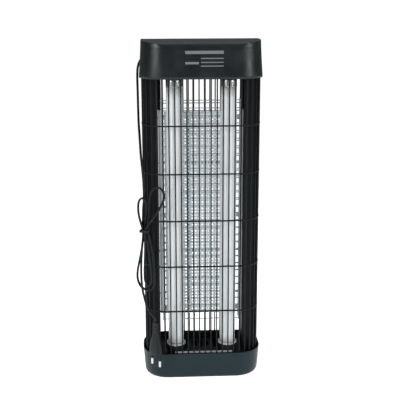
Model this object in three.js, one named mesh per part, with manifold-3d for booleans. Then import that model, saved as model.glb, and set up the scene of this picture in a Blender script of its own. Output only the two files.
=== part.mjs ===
// Two-tube electric insect killer lamp, upright and free-standing.
//
// A charcoal hood carries the electrics and hangs the whole lamp together: two side columns run
// down from it to a slotted lower deck, four guard panels close the space between them, and a
// catch tray sits under the deck. Two 26 mm lamps stand in front of a three-layer high-voltage
// grid. Millimetres, +Z up, the front faces -Y. The origin is the centre of the standing face.

import * as THREE from 'three';
import { mergeVertices } from 'three/addons/utils/BufferGeometryUtils.js';
import Module from 'manifold-3d';

const wasm = await Module();
wasm.setup();

// ---- driving dimensions ----------------------------------------------------------------------

const GAP = 0.3; // clearance between neighbouring pieces
const TOTAL_HEIGHT = 557;
const HOOD_BOTTOM = 499;
const HOOD_CORNER = 38.6;
const HOOD_EDGE_HEIGHT = 547.5; // where the crowned top starts, in front and behind
const TRAY_HEIGHT = 43.7;
const CORNER_FLATS = 6; // flats in each quarter turn of the body outline (an even number)

const HOOD_WALL = 2.2;
const TRAY_WALL = 2;

const GUARD = { halfWidth: 94.9, halfDepth: 46.8, corner: 37, depth: 3.6 };
const GUARD_BOTTOM = 33.6;
const GUARD_TOP = 505.2;
const BAND_HEIGHT = 5;
const FLAT_FOOT_HEIGHT = 9.2; // the flat panels stand on a deeper band, just under the tray's rim
const BAR_WIDTH = 2;
const FRONT_BARS = { count: 12, pitch: 9.45 };
const REAR_BARS = { count: 13, pitch: 8.9 };
const FLAT_HALF = 56.7; // half the width of a flat panel
const END_BARS = 14; // bars round each end panel
const RING_HEIGHT = 1.9;
const RING_COUNT = 5;
const LOWEST_RING = 117.8;
const RING_PITCH = 77;

const DECK_TOP = 33.3;
const DECK_THICKNESS = 2.7;
const UPPER_DECK_BOTTOM = 505.5;
const UPPER_DECK_THICKNESS = 2.5;
const SHELF = UPPER_DECK_BOTTOM + UPPER_DECK_THICKNESS + GAP; // what stands on the upper deck starts here

const LAMP_X = 43;
const LAMP_Y = -24;
const LAMP_RADIUS = 12.7;
const LAMP_BORE = 11.6;
const LAMP_BOTTOM = 40;
const LAMP_LENGTH = 457;
const CAP_HEIGHT = 12;
const CAP_RADIUS = 13;
const PIN_SPREAD = 6.35; // half the spacing of a lamp's two contact pins
const PIN_RADIUS = 1.2;
const PIN_LENGTH = 7;
const HOLDER_RADIUS = 15.5;
const HOLDER_TOP = 53.2;
const COLLAR_HEIGHT = 3.2;
const ROUND_SIDES = 16;

const COLUMN = { inner: 68.8, outer: 89.2, front: -14, back: 18, wall: 2 };
const COLUMN_FOOT = 4.4;

const RAIL = { inner: 63.5, outer: 68.3, front: -9, back: 11, bottom: 101, top: 446 };
const RAIL_STOP = { front: -4.8, back: 6.8 };
const GRID_LAYERS = { front: -6, centre: 1, rear: 8 };
const GRID_HALF_WIDTH = 64.6;
const GRID_BOTTOM = 89;
const GRID_TOP = 461;
const GRID_WIRE = 1.6;
const GRID_WIRES = 31; // level wires in the front layer; the rear layer's lie midway between them
const SHEET_BOTTOM = 97;
const SHEET_TOP = 442;
const SHEET_HALF_WIDTH = 58.3;
const SHEET_TABS = [106, 269.5, 433]; // heights of the tabs that reach into the rails

const CORD_WIDTH = 5.4;
const GLAND_HEIGHT = 524;
const HOOD_AT_GLAND = { halfWidth: 96.2, halfDepth: 49, corner: 38 };
const GLAND_ANGLE = 120; // degrees from +X to the way that the cord leaves the hood
const RELIEF_LENGTH = 24;

const PLUG = { x: -77.4, y: -62.5, face: 50, bodyHeight: 38, width: 25, thickness: 12.5, turn: -48 };
const PLUG_PIN = { spread: 9.3, radius: 2, length: 19 };
const PLUG_RELIEF_TOP = 108;

// The hank hangs in an upright plane that leans round the guard's front left corner.
const HANK = { x: -92.5, y: -42, turn: -20, thickness: 10.6, tieHeight: 256.7 };

// ---- materials -------------------------------------------------------------------------------

const finish = (color, roughness, metalness = 0) =>
  new THREE.MeshStandardMaterial({ color, roughness, metalness });

const charcoalAbs = finish(0x2d2e32, 0.42);
const blackAbs = finish(0x1c2024, 0.5);
const trayAbs = finish(0x2c393f, 0.4);
const lampGlass = finish(0xc8cdd0, 0.25);
const capAluminium = finish(0xa3a5a6, 0.35, 1);
const holderResin = finish(0x24272a, 0.55);
const collarResin = finish(0xc9cdcc, 0.4);
const gridSteel = finish(0xb9c6ca, 0.35, 1);
const railResin = finish(0x8c9091, 0.5);
const laminatedSteel = finish(0x55585a, 0.5, 1);
const windingCopper = finish(0xa8622e, 0.4, 1);
const starterShell = finish(0xd8dadb, 0.4);
const terminalResin = finish(0xe4e2da, 0.5);
const screwZinc = finish(0xb5b8ba, 0.35, 1);
const cordPvc = finish(0x262a28, 0.55);
const pinNickel = finish(0xc8d7d7, 0.25, 1);
const leadPvc = finish(0x7a2320, 0.55);

// ---- solids ----------------------------------------------------------------------------------

function toSolid(geometry) {
  const bare = geometry.clone();
  bare.deleteAttribute('normal');
  bare.deleteAttribute('uv');
  const merged = mergeVertices(bare, 1e-4);
  const mesh = new wasm.Mesh({
    numProp: 3,
    vertProperties: Float32Array.from(merged.attributes.position.array),
    triVerts: Uint32Array.from(merged.index.array),
  });
  return new wasm.Manifold(mesh);
}

function toGeometry(solid) {
  const mesh = solid.getMesh();
  const geometry = new THREE.BufferGeometry();
  geometry.setAttribute('position', new THREE.BufferAttribute(mesh.vertProperties, 3));
  geometry.setIndex(new THREE.BufferAttribute(mesh.triVerts, 1));
  geometry.computeVertexNormals();
  return geometry;
}

const union = (...solids) => solids.reduce((sum, solid) => sum.add(solid));

function block(x0, x1, y0, y1, z0, z1) {
  const geometry = new THREE.BoxGeometry(x1 - x0, y1 - y0, z1 - z0);
  geometry.translate((x0 + x1) / 2, (y0 + y1) / 2, (z0 + z1) / 2);
  return toSolid(geometry);
}

// A closed profile of [radius, height] pairs, spun about the Z axis with its faces outward.
function spun(profile, sides) {
  const points = profile.map(([r, z]) => new THREE.Vector2(r, z));
  if (THREE.ShapeUtils.area(points) < 0) {
    points.reverse();
  }
  const geometry = new THREE.LatheGeometry([...points, points[0]], sides);
  return geometry.rotateX(Math.PI / 2);
}

const turned = (profile, x = 0, y = 0, sides = ROUND_SIDES) =>
  toSolid(spun(profile, sides).translate(x, y, 0));

const rod = (x, y, radius, z0, z1, sides = ROUND_SIDES) =>
  turned([[0, z0], [radius, z0], [radius, z1], [0, z1]], x, y, sides);

function bodyOutline(halfWidth, halfDepth, corner) {
  const shape = new THREE.Shape();
  const x = halfWidth - corner;
  const y = halfDepth - corner;
  shape.absarc(x, y, corner, 0, Math.PI / 2, false);
  shape.absarc(-x, y, corner, Math.PI / 2, Math.PI, false);
  shape.absarc(-x, -y, corner, Math.PI, 1.5 * Math.PI, false);
  shape.absarc(x, -y, corner, 1.5 * Math.PI, 2 * Math.PI, false);
  return shape;
}

function slab(halfWidth, halfDepth, corner, z0, z1) {
  const geometry = new THREE.ExtrudeGeometry(bodyOutline(halfWidth, halfDepth, corner), {
    depth: z1 - z0,
    bevelEnabled: false,
    curveSegments: CORNER_FLATS / 2,
  });
  geometry.translate(0, 0, z0);
  return toSolid(geometry);
}

// Stacks the body outline through [height, half width, half depth] levels.
function loft(levels, corner) {
  const [, baseWidth, baseDepth] = levels[0];
  const geometry = new THREE.ExtrudeGeometry(bodyOutline(baseWidth, baseDepth, corner), {
    depth: levels.length - 1,
    steps: levels.length - 1,
    bevelEnabled: false,
    curveSegments: CORNER_FLATS / 2,
  });
  const position = geometry.attributes.position;
  for (let i = 0; i < position.count; i += 1) {
    const [z, width, depth] = levels[Math.round(position.getZ(i))];
    const x = position.getX(i) * (width / baseWidth);
    const y = position.getY(i) * (depth / baseDepth);
    position.setXYZ(i, x, y, z);
  }
  return toSolid(geometry);
}

// A screw standing on its tip or its head: shank and pan head on one vertical axis.
function screw(x, y, seat, tip) {
  const up = Math.sign(tip - seat);
  const shank = rod(x, y, 1.4, Math.min(seat - up * 0.2, tip), Math.max(seat - up * 0.2, tip), 8);
  const crown = seat - up * 2;
  const head = rod(x, y, 3, Math.min(seat, crown), Math.max(seat, crown), 8);
  return shank.add(head);
}

const insectKiller = new THREE.Group();

function add(name, solid, material) {
  const mesh = new THREE.Mesh(toGeometry(solid), material);
  mesh.name = name;
  insectKiller.add(mesh);
  return mesh;
}

const SIDES = [['left', -1], ['right', 1]];

// ---- hood ------------------------------------------------------------------------------------

const HOOD_SCREWS = [[-74, -30], [74, -30], [-60, 34], [74, 30]];

function glandDirection() {
  const angle = THREE.MathUtils.degToRad(GLAND_ANGLE);
  return new THREE.Vector3(Math.cos(angle), Math.sin(angle), 0);
}

// The gland sits on the rounded rear left corner, whose centre is set back from both walls.
function glandSeat() {
  const { halfWidth, halfDepth, corner } = HOOD_AT_GLAND;
  const centre = new THREE.Vector3(corner - halfWidth, halfDepth - corner, GLAND_HEIGHT);
  return centre.addScaledVector(glandDirection(), corner);
}

function alongGland(profile, sides) {
  const geometry = spun(profile, sides);
  const turn = new THREE.Quaternion().setFromUnitVectors(new THREE.Vector3(0, 0, 1), glandDirection());
  geometry.applyQuaternion(turn);
  const seat = glandSeat();
  geometry.translate(seat.x, seat.y, seat.z);
  return toSolid(geometry);
}

// The hood's section across its depth, as [y, z]: a rolled front edge and a low crown.
const HOOD_CROWN = [
  [0, TOTAL_HEIGHT], [21, 556.3], [34, 555.1], [42.6, 554], [45.5, 553], [47.4, 551],
  [48.6, HOOD_EDGE_HEIGHT], [60, HOOD_BOTTOM - 10],
];

function makeCrown() {
  const section = new THREE.Shape([
    ...HOOD_CROWN.map(([y, z]) => new THREE.Vector2(y, z)),
    ...HOOD_CROWN.slice(1).reverse().map(([y, z]) => new THREE.Vector2(-y, z)),
  ]);
  const geometry = new THREE.ExtrudeGeometry(section, { depth: 240, bevelEnabled: false });
  geometry.translate(0, 0, -120);
  geometry.rotateX(Math.PI / 2);
  geometry.rotateZ(Math.PI / 2);
  return toSolid(geometry);
}

function makeHood() {
  const walls = loft([
    [HOOD_BOTTOM, 97.7, 49.5],
    [507, 97.2, 49.4],
    [521, 96.2, 49],
    [535, 95.3, 48.7],
    [TOTAL_HEIGHT - 1.2, 94.4, 48.5],
    [TOTAL_HEIGHT + 1, 92.2, 46.3],
  ], HOOD_CORNER);
  const hollow = loft([
    [HOOD_BOTTOM - 1, 97.6 - HOOD_WALL, 49.5 - HOOD_WALL],
    [507, 97.4 - HOOD_WALL, 49.4 - HOOD_WALL],
    [521, 96.2 - HOOD_WALL, 49 - HOOD_WALL],
    [546, 94.8 - HOOD_WALL, 48.3 - HOOD_WALL],
    [551.6, 92, 42.6],
  ], HOOD_CORNER - HOOD_WALL);
  let hood = walls.intersect(makeCrown()).subtract(hollow);
  for (const [x, y] of HOOD_SCREWS) {
    hood = hood.add(rod(x, y, 4, SHELF + 0.1, 552.5, 10));
    hood = hood.subtract(rod(x, y, 1.7, SHELF - 1, 522, 8));
  }
  return hood.subtract(alongGland([[0, -12], [5.2, -12], [5.2, 6], [0, 6]], 12));
}
add('top_hood', makeHood(), charcoalAbs);

function makeUpperDeck() {
  const top = UPPER_DECK_BOTTOM + UPPER_DECK_THICKNESS;
  let deck = slab(91.4, 44.6, 34.8, UPPER_DECK_BOTTOM, top);
  const holes = [
    ...SIDES.map(([, side]) => [side * LAMP_X, LAMP_Y, 12.4, 16]),
    ...SIDES.map(([, side]) => [side * 76.7, 12, 1.8, 8]),
    ...HOOD_SCREWS.map(([x, y]) => [x, y, 1.8, 8]),
  ];
  for (const [x, y, radius, sides] of holes) {
    deck = deck.subtract(rod(x, y, radius, UPPER_DECK_BOTTOM - 1, top + 1, sides));
  }
  return deck;
}
add('upper_deck', makeUpperDeck(), blackAbs);

HOOD_SCREWS.forEach(([x, y], index) => {
  add(`hood_screw_${index + 1}`, screw(x, y, UPPER_DECK_BOTTOM - GAP, 519), screwZinc);
});

// ---- guard panels ----------------------------------------------------------------------------

function guardRing(z0, z1) {
  const { halfWidth, halfDepth, corner, depth } = GUARD;
  const outer = slab(halfWidth, halfDepth, corner, z0, z1);
  return outer.subtract(slab(halfWidth - depth, halfDepth - depth, corner - depth, z0 - 1, z1 + 1));
}

const ringHeights = Array.from({ length: RING_COUNT }, (_, i) => LOWEST_RING + i * RING_PITCH);
const guardRings = (footHeight) => union(
  guardRing(GUARD_BOTTOM, GUARD_BOTTOM + footHeight),
  guardRing(GUARD_TOP - BAND_HEIGHT, GUARD_TOP),
  ...ringHeights.map((z) => guardRing(z - RING_HEIGHT / 2, z + RING_HEIGHT / 2)),
);

function guardBar(x, y, angle) {
  const inset = 0.45; // bars lie this far inside both faces of the rings
  const thickness = GUARD.depth - 2 * inset;
  const geometry = new THREE.BoxGeometry(thickness, BAR_WIDTH, GUARD_TOP - GUARD_BOTTOM - 2);
  geometry.rotateZ(angle);
  geometry.translate(x, y, (GUARD_TOP + GUARD_BOTTOM) / 2);
  return toSolid(geometry);
}

// Bars of the right-hand end, evenly spaced from the front flat, round both corners, to the rear.
function endBars(side) {
  const radius = GUARD.corner - GUARD.depth / 2;
  const cornerX = GUARD.halfWidth - GUARD.corner;
  const cornerY = GUARD.halfDepth - GUARD.corner;
  const lead = cornerX - FLAT_HALF;
  const quarter = (Math.PI / 2) * radius;
  const total = 2 * lead + 2 * quarter + 2 * cornerY;
  return Array.from({ length: END_BARS }, (_, i) => {
    const s = ((i + 0.5) / END_BARS) * total;
    const mirrored = s > total / 2;
    const along = mirrored ? total - s : s;
    const turn = THREE.MathUtils.clamp((along - lead) / radius, 0, Math.PI / 2);
    const climb = Math.max(0, along - lead - quarter);
    const x = Math.min(cornerX, FLAT_HALF + along) + radius * Math.sin(turn);
    const y = -cornerY - radius * Math.cos(turn) + climb;
    const outward = turn - Math.PI / 2;
    const flip = mirrored ? -1 : 1;
    const angle = side > 0 ? outward * flip : Math.PI - outward * flip;
    return guardBar(side * x, flip * y, angle);
  });
}

function flatPanel(face, { count, pitch }) {
  const far = face * (GUARD.halfDepth + 5);
  const keep = block(-FLAT_HALF + GAP / 2, FLAT_HALF - GAP / 2, Math.min(0, far), Math.max(0, far), 0, 540);
  const y = face * (GUARD.halfDepth - GUARD.depth / 2);
  const bars = Array.from({ length: count }, (_, i) =>
    guardBar((i - (count - 1) / 2) * pitch, y, Math.PI / 2));
  return union(guardRings(FLAT_FOOT_HEIGHT).intersect(keep), ...bars);
}

function endPanel(side) {
  const near = side * (FLAT_HALF + GAP / 2);
  const far = side * 120;
  const keep = block(Math.min(near, far), Math.max(near, far), -60, 60, 0, 540);
  return union(guardRings(BAND_HEIGHT).intersect(keep), ...endBars(side));
}

add('guard_front', flatPanel(-1, FRONT_BARS), blackAbs);
add('guard_rear', flatPanel(1, REAR_BARS), blackAbs);
for (const [label, side] of SIDES) {
  add(`guard_end_${label}`, endPanel(side), blackAbs);
}

// ---- side columns ----------------------------------------------------------------------------

function sideBlock(side, x0, x1, y0, y1, z0, z1) {
  const [a, b] = [side * x0, side * x1];
  return block(Math.min(a, b), Math.max(a, b), y0, y1, z0, z1);
}

const SCREW_X = 76.7;
const SCREW_Y = 12;

// A raceway open towards the guard's end, with a solid foot and head for the deck screws. A block
// on its inner face closes the space above the grid's rail, between the outer grid layers.
function makeColumn(side) {
  const { inner, outer, front, back, wall } = COLUMN;
  const body = sideBlock(side, inner, outer, front, back, GUARD_BOTTOM, GUARD_TOP);
  const channel = sideBlock(side, inner + wall, outer + 1, front + wall, back - wall,
    GUARD_BOTTOM + COLUMN_FOOT, GUARD_TOP - COLUMN_FOOT);
  const foot = rod(side * SCREW_X, SCREW_Y, 1.7, GUARD_BOTTOM - 1, GUARD_BOTTOM + 3.8, 8);
  const head = rod(side * SCREW_X, SCREW_Y, 1.7, GUARD_TOP - 3.8, GUARD_TOP + 1, 8);
  const railStop = sideBlock(side, RAIL.inner, inner + wall / 2, RAIL_STOP.front, RAIL_STOP.back,
    RAIL.top + GAP, GUARD_TOP);
  return body.subtract(channel).subtract(foot).subtract(head).add(railStop);
}

for (const [label, side] of SIDES) {
  add(`side_column_${label}`, makeColumn(side), blackAbs);
  const lower = screw(side * SCREW_X, SCREW_Y, DECK_TOP - DECK_THICKNESS - GAP, GUARD_BOTTOM + 3.4);
  add(`column_screw_lower_${label}`, lower, screwZinc);
  add(`column_screw_upper_${label}`, screw(side * SCREW_X, SCREW_Y, SHELF, GUARD_TOP - 3.4), screwZinc);
  const lead = sideBlock(side, 74, 77, -6, -2.6, 39, 500);
  add(`lamp_lead_${label}`, lead, leadPvc);
}

// ---- lower deck and catch tray ---------------------------------------------------------------

const DECK_BOTTOM = DECK_TOP - DECK_THICKNESS;
const DECK_WINDOWS = [
  [-22, 22, -40, -14], // in front, between the lamps
  [-60, -21, 0, 38], // behind the left lamp
  [21, 60, 0, 38], // behind the right lamp
];
const DECK_EYE = { x: 0, y: 17, radius: 15, rib: 2.4 };

function makeLowerDeck() {
  const plate = slab(95.2, 46.9, 36.8, DECK_BOTTOM, DECK_TOP);
  let deck = plate;
  for (const [x0, x1, y0, y1] of DECK_WINDOWS) {
    deck = deck.subtract(block(x0, x1, y0, y1, DECK_BOTTOM - 1, DECK_TOP + 1));
  }
  const { x, y, radius, rib } = DECK_EYE;
  const eye = rod(x, y, radius, DECK_BOTTOM - 1, DECK_TOP + 1, 16);
  const ribs = [-5, 5].map((offset) =>
    block(offset - rib / 2, offset + rib / 2, y - radius - 2, y + radius + 2, DECK_BOTTOM, DECK_TOP));
  deck = deck.subtract(eye.subtract(union(...ribs)));
  for (const [, side] of SIDES) {
    deck = deck.subtract(rod(side * LAMP_X, LAMP_Y, 12.4, DECK_BOTTOM - 1, DECK_TOP + 1, 16));
    deck = deck.subtract(rod(side * SCREW_X, SCREW_Y, 1.8, DECK_BOTTOM - 1, DECK_TOP + 1, 8));
  }
  return deck;
}
add('lower_deck', makeLowerDeck(), blackAbs);

function makeTray() {
  const outer = loft([
    [0, 91.4, 45.2],
    [1.6, 93.8, 47.2],
    [5, 95.4, 48.6],
    [TRAY_HEIGHT, 98.5, 49.8],
  ], 36);
  const hollow = loft([
    [2.4, 90.6, 44.6],
    [6, 93.3, 46.6],
    [TRAY_HEIGHT + 1, 98.5 - TRAY_WALL, 49.8 - TRAY_WALL],
  ], 35);
  const ledge = 5;
  const ledges = [-1, 1].flatMap((side) => [-1, 1].map((end) => {
    const [x, y] = [side * 84, end * 22];
    return block(x - ledge, x + ledge, y - ledge, y + ledge, 1.5, DECK_BOTTOM - GAP);
  }));
  return union(outer.subtract(hollow), ...ledges);
}
add('catch_tray', makeTray(), trayAbs);

// ---- lamps and lampholders -------------------------------------------------------------------

const LAMP_TOP = LAMP_BOTTOM + LAMP_LENGTH;

function makeLampGlass(x) {
  const neck = 11.9;
  const low = LAMP_BOTTOM + CAP_HEIGHT;
  const high = LAMP_TOP - CAP_HEIGHT;
  return turned([
    [LAMP_BORE - 0.8, LAMP_BOTTOM + 3],
    [neck, LAMP_BOTTOM + 3],
    [neck, low + GAP],
    [LAMP_RADIUS, low + 1.2],
    [LAMP_RADIUS, high - 1.2],
    [neck, high - GAP],
    [neck, LAMP_TOP - 3],
    [LAMP_BORE - 0.8, LAMP_TOP - 3],
  ], x, LAMP_Y);
}

// A cup over the end of the glass with two contact pins; up is the way that the pins point.
function makeLampCap(x, face, up) {
  const level = (t) => face - up * t;
  const profile = [
    [0, level(0)],
    [0, level(2.4)],
    [12.3, level(2.4)],
    [12.3, level(CAP_HEIGHT)],
    [CAP_RADIUS, level(CAP_HEIGHT)],
    [CAP_RADIUS, level(0.8)],
    [CAP_RADIUS - 0.8, level(0)],
  ];
  const cup = turned(profile, x, LAMP_Y);
  const tip = face + up * PIN_LENGTH;
  const root = face - up * 1;
  const pins = [-1, 1].map((side) =>
    rod(x + side * PIN_SPREAD, LAMP_Y, PIN_RADIUS, Math.min(tip, root), Math.max(tip, root), 8));
  return union(cup, ...pins);
}

// The ring groove lets the pins turn; the slot at the front lets them in and out.
function pinTrack(x, z0, z1) {
  const clearance = 0.5;
  const wide = PIN_SPREAD + PIN_RADIUS + clearance;
  const narrow = PIN_SPREAD - PIN_RADIUS - clearance;
  const ring = turned([[narrow, z0], [wide, z0], [wide, z1], [narrow, z1]], x, LAMP_Y);
  const slotHalf = PIN_RADIUS + clearance;
  const slot = block(x - slotHalf, x + slotHalf, LAMP_Y - 14, LAMP_Y, z0, z1);
  return ring.add(slot);
}

function makeLowerHolder(x) {
  const floor = LAMP_BOTTOM - GAP;
  const cup = rod(x, LAMP_Y, HOLDER_RADIUS, DECK_TOP + GAP, HOLDER_TOP);
  const stem = rod(x, LAMP_Y, 12, 26, DECK_TOP + 1);
  const seat = rod(x, LAMP_Y, 13.5, floor, HOLDER_TOP + 1);
  const track = pinTrack(x, LAMP_BOTTOM - PIN_LENGTH - 0.8, floor + 1);
  const wireWay = block(x - 3, x + 3, LAMP_Y, LAMP_Y + 14, 29.5, DECK_BOTTOM);
  return union(cup, stem).subtract(seat).subtract(track).subtract(wireWay);
}

function makeUpperHolder(x) {
  const floor = LAMP_TOP + GAP;
  const plate = rod(x, LAMP_Y, HOLDER_RADIUS, floor, GUARD_TOP);
  const stem = rod(x, LAMP_Y, 12, GUARD_TOP - 1, 513);
  const track = pinTrack(x, floor - 1, LAMP_TOP + PIN_LENGTH + 0.8);
  return union(plate, stem).subtract(track);
}

function makeCollar(x) {
  const bore = 13.6;
  const low = HOLDER_TOP + GAP;
  const high = low + COLLAR_HEIGHT;
  return turned([[bore, low], [HOLDER_RADIUS, low], [HOLDER_RADIUS, high], [bore, high]], x, LAMP_Y);
}

for (const [label, side] of SIDES) {
  const x = side * LAMP_X;
  add(`lamp_glass_${label}`, makeLampGlass(x), lampGlass);
  add(`lamp_cap_lower_${label}`, makeLampCap(x, LAMP_BOTTOM, -1), capAluminium);
  add(`lamp_cap_upper_${label}`, makeLampCap(x, LAMP_TOP, 1), capAluminium);
  add(`lampholder_lower_${label}`, makeLowerHolder(x), holderResin);
  add(`lampholder_upper_${label}`, makeUpperHolder(x), holderResin);
  add(`lamp_collar_${label}`, makeCollar(x), collarResin);
}

// ---- high-voltage grid -----------------------------------------------------------------------

function makeRail(side) {
  const { inner, outer, front, back, bottom, top } = RAIL;
  let rail = sideBlock(side, inner, outer, front, back, bottom, top);
  for (const y of Object.values(GRID_LAYERS)) {
    rail = rail.subtract(sideBlock(side, inner - 1, inner + 1.6, y - 1.1, y + 1.1, bottom - 1, top + 1));
  }
  return rail;
}

function makeWireLayer(y, count) {
  const half = GRID_WIRE / 2;
  const uprights = SIDES.map(([, side]) =>
    sideBlock(side, GRID_HALF_WIDTH - 1.6, GRID_HALF_WIDTH, y - 0.8, y + 0.8, GRID_BOTTOM - 2, GRID_TOP + 2));
  const pitch = (GRID_TOP - GRID_BOTTOM) / (GRID_WIRES - 1);
  const reach = GRID_HALF_WIDTH - 0.6;
  const middle = (GRID_TOP + GRID_BOTTOM) / 2;
  const wires = Array.from({ length: count }, (_, i) => {
    const z = middle + (i - (count - 1) / 2) * pitch;
    return block(-reach, reach, y - half, y + half, z - half, z + half);
  });
  return union(...uprights, ...wires);
}

// A thin sheet with thicker hems down its sides and three tabs a side that reach into the rails.
function makeCentreSheet(y) {
  const hem = 1.6;
  const tabHalf = 4;
  const sheet = block(-SHEET_HALF_WIDTH, SHEET_HALF_WIDTH, y - 0.4, y + 0.4, SHEET_BOTTOM, SHEET_TOP);
  const sides = SIDES.flatMap(([, side]) => [
    sideBlock(side, SHEET_HALF_WIDTH - hem, SHEET_HALF_WIDTH, y - 0.8, y + 0.8, SHEET_BOTTOM, SHEET_TOP),
    ...SHEET_TABS.map((z) =>
      sideBlock(side, SHEET_HALF_WIDTH - hem, GRID_HALF_WIDTH, y - 0.4, y + 0.4, z - tabHalf, z + tabHalf)),
  ]);
  return union(sheet, ...sides);
}

add('grid_front', makeWireLayer(GRID_LAYERS.front, GRID_WIRES), gridSteel);
add('grid_centre', makeCentreSheet(GRID_LAYERS.centre), gridSteel);
add('grid_rear', makeWireLayer(GRID_LAYERS.rear, GRID_WIRES - 1), gridSteel);
for (const [label, side] of SIDES) {
  add(`grid_rail_${label}`, makeRail(side), railResin);
}

// ---- electrics inside the hood ---------------------------------------------------------------

// A laminated core of E shape closed by its yoke, with two windows for the winding.
function makeCore(x, y, length, depth, height) {
  const limb = 7;
  const body = block(x - length / 2, x + length / 2, y - depth / 2, y + depth / 2, SHELF, SHELF + height);
  const windows = [-1, 1].map((side) => {
    const near = side * limb;
    const far = side * (length / 2 - limb);
    return block(x + Math.min(near, far), x + Math.max(near, far), y - depth, y + depth,
      SHELF + limb, SHELF + height - limb);
  });
  return body.subtract(union(...windows));
}

function makeWinding(x, y, length, depth, height) {
  const limb = 7;
  const outer = block(x - length / 2 + limb + GAP, x + length / 2 - limb - GAP,
    y - depth / 2 - 5, y + depth / 2 + 5, SHELF + limb + GAP, SHELF + height - limb - GAP);
  return outer.subtract(block(x - limb - GAP, x + limb + GAP,
    y - depth / 2 - GAP, y + depth / 2 + GAP, SHELF, SHELF + height));
}

add('transformer_core', makeCore(46, 16, 46, 18, 38), laminatedSteel);
add('transformer_winding', makeWinding(46, 16, 46, 18, 38), windingCopper);
add('ballast_core', makeCore(-20, 14, 60, 18, 30), laminatedSteel);
add('ballast_winding', makeWinding(-20, 14, 60, 18, 30), windingCopper);
add('terminal_block', block(-18, 18, -36, -24, SHELF, SHELF + 14), terminalResin);
for (const [label, side] of SIDES) {
  add(`starter_${label}`, rod(side * 70, -8, 10.2, SHELF, SHELF + 34, 14), starterShell);
}

// ---- mains cord ------------------------------------------------------------------------------

add('cord_gland', alongGland([
  [0, -9],
  [4.8, -9],
  [4.8, 0.4],
  [7.4, 0.4],
  [7.4, 3],
  [4.6, 4],
  [3.3, RELIEF_LENGTH],
  [0, RELIEF_LENGTH],
], 12), cordPvc);

// Route points, chosen by hand: out of the relief, over the left end, and down to the hank.
const SUPPLY_ROUTE = [
  [-89.0, 65.7, 524],
  [-92.0, 69.5, 522.6],
  [-96.6, 69.5, 517.5],
  [-100.2, 62, 508],
  [-101.2, 50, 494],
  [-100.8, 38, 474],
  [-100.4, 26, 450],
  [-99.8, 12, 424],
  [-98.2, -6, 400],
  [-96.8, -22, 378],
  [-94.6, -34, 356],
  [-93.2, -40.6, 338],
  [-92.9, -42, 325.6],
];

const TAIL_ROUTE = [
  [-96.8, -40.5, 149.4],
  [-95.2, -42.5, 143],
  [-91.7, -48, 132],
  [-86.4, -55, 123],
  [-80.2, -60.6, 116.6],
  [-77.5, -62.4, 111.6],
  [-77.4, -62.5, PLUG_RELIEF_TOP + 0.6],
];

function cordTube(route, steps) {
  const path = new THREE.CatmullRomCurve3(route.map((p) => new THREE.Vector3(...p)));
  const section = new THREE.Shape();
  section.absarc(0, 0, CORD_WIDTH / 2, 0, 2 * Math.PI, false);
  return new THREE.ExtrudeGeometry(section, { steps, curveSegments: 4, extrudePath: path });
}

function addTube(name, geometry) {
  add(name, toSolid(geometry), cordPvc);
}

addTube('cord_supply', cordTube(SUPPLY_ROUTE, 26));
addTube('cord_tail', cordTube(TAIL_ROUTE, 6));

// Turns a solid drawn in the hank's own plane (x along it, y its thickness) into place.
function placeHank(geometry) {
  geometry.rotateX(Math.PI / 2);
  geometry.translate(0, HANK.thickness / 2, 0);
  geometry.rotateZ(THREE.MathUtils.degToRad(HANK.turn));
  geometry.translate(HANK.x, HANK.y, 0);
  return toSolid(geometry);
}

// Outline of the tied hank: two loops above the tie, the longer loops below it.
const HANK_OUTLINE = [
  [5.2, 263], [15, 284], [31, 302], [38.5, 318], [34, 330], [20, 333.5],
  [6, 325], [-2, 324], [-12.6, 306], [-13, 286], [-5.2, 263],
  [-5.2, 250], [-12, 220], [-18.5, 184], [-16, 162], [-6, 152], [6, 152], [13.6, 166],
  [14, 200], [5.2, 250],
];

function makeHank() {
  const points = HANK_OUTLINE.map(([x, z]) => new THREE.Vector3(x, z, 0));
  const smooth = new THREE.CatmullRomCurve3(points, true).getPoints(40);
  const outline = new THREE.Shape(smooth.slice(0, -1).map((p) => new THREE.Vector2(p.x, p.y)));
  const geometry = new THREE.ExtrudeGeometry(outline, { depth: HANK.thickness, bevelEnabled: false });
  return placeHank(geometry);
}

function makeTie() {
  const band = (half, deep, tall) => {
    const geometry = new THREE.BoxGeometry(2 * half, 2 * deep, tall);
    geometry.rotateZ(THREE.MathUtils.degToRad(HANK.turn));
    geometry.translate(HANK.x, HANK.y, HANK.tieHeight);
    return toSolid(geometry);
  };
  return band(6.9, HANK.thickness / 2 + 1.6, 4).subtract(band(5.7, HANK.thickness / 2 + GAP, 6));
}

add('cord_hank', makeHank(), cordPvc);
add('cord_tie', makeTie(), cordPvc);

function placePlug(geometry) {
  geometry.rotateZ(THREE.MathUtils.degToRad(PLUG.turn));
  geometry.translate(PLUG.x, PLUG.y, 0);
  return geometry;
}

function makePlugBody() {
  const { width, thickness, face, bodyHeight } = PLUG;
  const outline = new THREE.Shape();
  const round = thickness / 2;
  const straight = width / 2 - round;
  outline.absarc(straight, 0, round, -Math.PI / 2, Math.PI / 2, false);
  outline.absarc(-straight, 0, round, Math.PI / 2, 1.5 * Math.PI, false);
  const geometry = new THREE.ExtrudeGeometry(outline, {
    depth: 3, steps: 3, bevelEnabled: false, curveSegments: 3,
  });
  const levels = [
    [face, 1],
    [face + bodyHeight * 0.45, 0.94],
    [face + bodyHeight, 0.5],
    [PLUG_RELIEF_TOP, 0.42],
  ];
  const position = geometry.attributes.position;
  for (let i = 0; i < position.count; i += 1) {
    const [z, scale] = levels[Math.round(position.getZ(i))];
    position.setXYZ(i, position.getX(i) * scale, position.getY(i) * scale, z);
  }
  let body = toSolid(placePlug(geometry));
  for (const side of [-1, 1]) {
    body = body.subtract(plugPin(side, PLUG_PIN.radius + GAP, face - 1, face + 7));
  }
  return body;
}

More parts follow.
